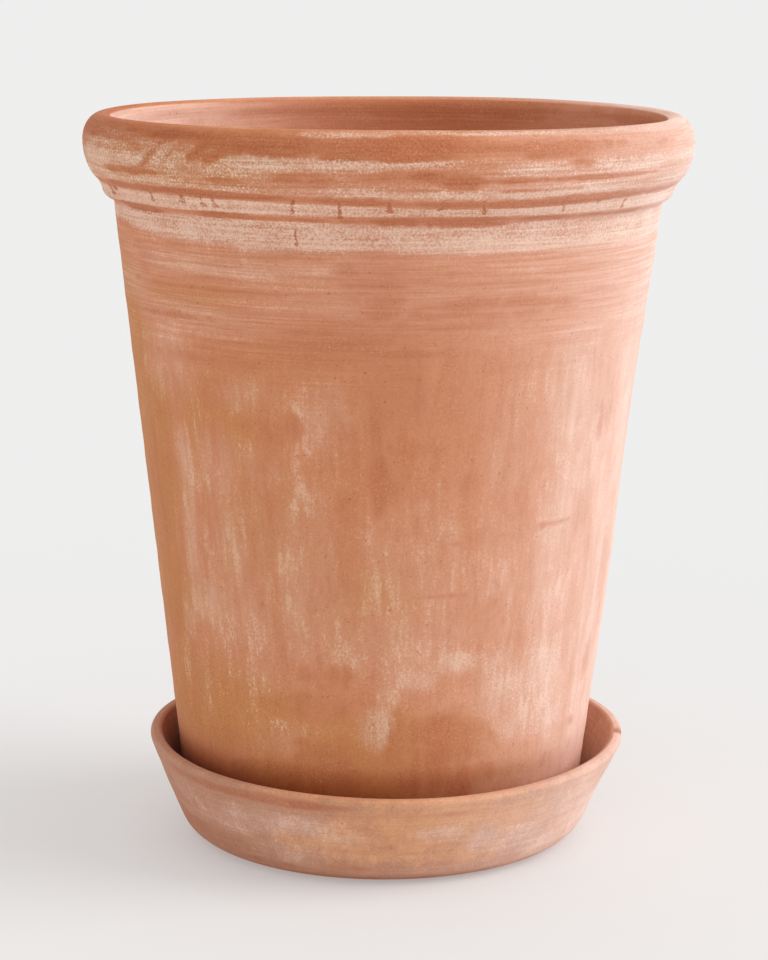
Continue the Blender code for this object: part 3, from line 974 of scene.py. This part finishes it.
class PLANTER_OT_stage(bpy.types.Operator):
    """Set the floor, the light and the camera"""

    bl_idname = "planter.stage"
    bl_label = "Set Stage"

    def execute(self, context):
        scene, stage = context.scene, context.scene.planter_stage
        mesh = bpy.data.meshes.new("floor")
        corners = [(x * FLOOR_REACH, y * FLOOR_REACH, 0) for x, y in ((-1, -1), (1, -1), (1, 1), (-1, 1))]
        mesh.from_pydata(corners, [], [(0, 1, 2, 3)])
        paint = bpy.data.materials.new("pale floor")
        paint.use_nodes = True
        coat = paint.node_tree.nodes["Principled BSDF"].inputs
        coat["Base Color"].default_value = rgba(stage.floor_colour)
        coat["Roughness"].default_value = 1.0
        coat["Specular IOR Level"].default_value = 0.0
        coat["Emission Color"].default_value = (1.0, 1.0, 1.0, 1.0)
        coat["Emission Strength"].default_value = stage.floor_glow
        mesh.materials.append(paint)
        floor = bpy.data.objects.new("floor", mesh)
        scene.collection.objects.link(floor)

        world = bpy.data.worlds.new("studio")
        world.use_nodes = True
        sky = world.node_tree.nodes["Background"].inputs
        sky["Color"].default_value = (1.0, 1.0, 1.0, 1.0)
        n = Nodes(world.node_tree)
        seen = n.add("ShaderNodeLightPath").outputs["Is Camera Ray"]
        strength = n.math("MULTIPLY_ADD", seen, stage.backdrop - stage.sky, stage.sky)
        world.node_tree.links.new(strength, sky["Strength"])
        scene.world = world

        lamp = bpy.data.lights.new("key", "SUN")
        lamp.energy = stage.key
        lamp.angle = stage.key_softness
        lamp.color = (1.0, 0.985, 0.965)
        key = bpy.data.objects.new("key", lamp)
        tilt = Matrix.Rotation(math.pi / 2 - stage.key_height, 4, "X")
        key.rotation_euler = (Matrix.Rotation(stage.key_azimuth, 4, "Z") @ tilt).to_euler()
        scene.collection.objects.link(key)

        view = bpy.data.cameras.new("camera")
        view.lens = stage.lens
        view.sensor_width = 36.0
        view.clip_end = 200.0
        camera = bpy.data.objects.new("camera", view)
        camera.location = (0.0, -stage.distance, stage.eye_height)
        aim = Matrix.Rotation(math.pi / 2 - stage.pitch, 4, "X") @ Matrix.Rotation(stage.roll, 4, "Z")
        camera.rotation_euler = aim.to_euler()
        scene.collection.objects.link(camera)
        scene.camera = camera
        scene.view_settings.view_transform = "Standard"
        return {"FINISHED"}


class PLANTER_PT_panel(bpy.types.Panel):
    """Every setting of the planter, with a button for each operator"""

    bl_idname = "PLANTER_PT_panel"
    bl_label = "Weathered Planter"
    bl_space_type = "VIEW_3D"
    bl_region_type = "UI"
    bl_category = "Planter"

    def draw(self, context):
        layout = self.layout
        for title, owner, operator in (
            ("Pot clay", context.scene.planter_pot_clay, None),
            ("Pot", context.scene.planter_pot, "planter.pot"),
            ("Saucer clay", context.scene.planter_saucer_clay, None),
            ("Saucer", context.scene.planter_saucer, "planter.saucer"),
            ("Stage", context.scene.planter_stage, "planter.stage"),
        ):
            box = layout.box()
            box.label(text=title)
            for name in owner.__annotations__:
                box.prop(owner, name)
            if operator:
                box.operator(operator)


SETTINGS = {
    "planter_pot": PotSettings, "planter_pot_clay": PotClaySettings, "planter_saucer": SaucerSettings,
    "planter_saucer_clay": SaucerClaySettings, "planter_stage": StageSettings,
}
CLASSES = (*SETTINGS.values(), PLANTER_OT_saucer, PLANTER_OT_pot, PLANTER_OT_stage, PLANTER_PT_panel)


def register():
    for cls in CLASSES:
        bpy.utils.register_class(cls)
    for name, cls in SETTINGS.items():
        setattr(bpy.types.Scene, name, bpy.props.PointerProperty(type=cls))


def unregister():
    for name in SETTINGS:
        delattr(bpy.types.Scene, name)
    for cls in reversed(CLASSES):
        bpy.utils.unregister_class(cls)


def main():
    register()
    bpy.ops.planter.saucer()
    bpy.ops.planter.pot()
    bpy.ops.planter.stage()


if __name__ == "__main__":
    main()
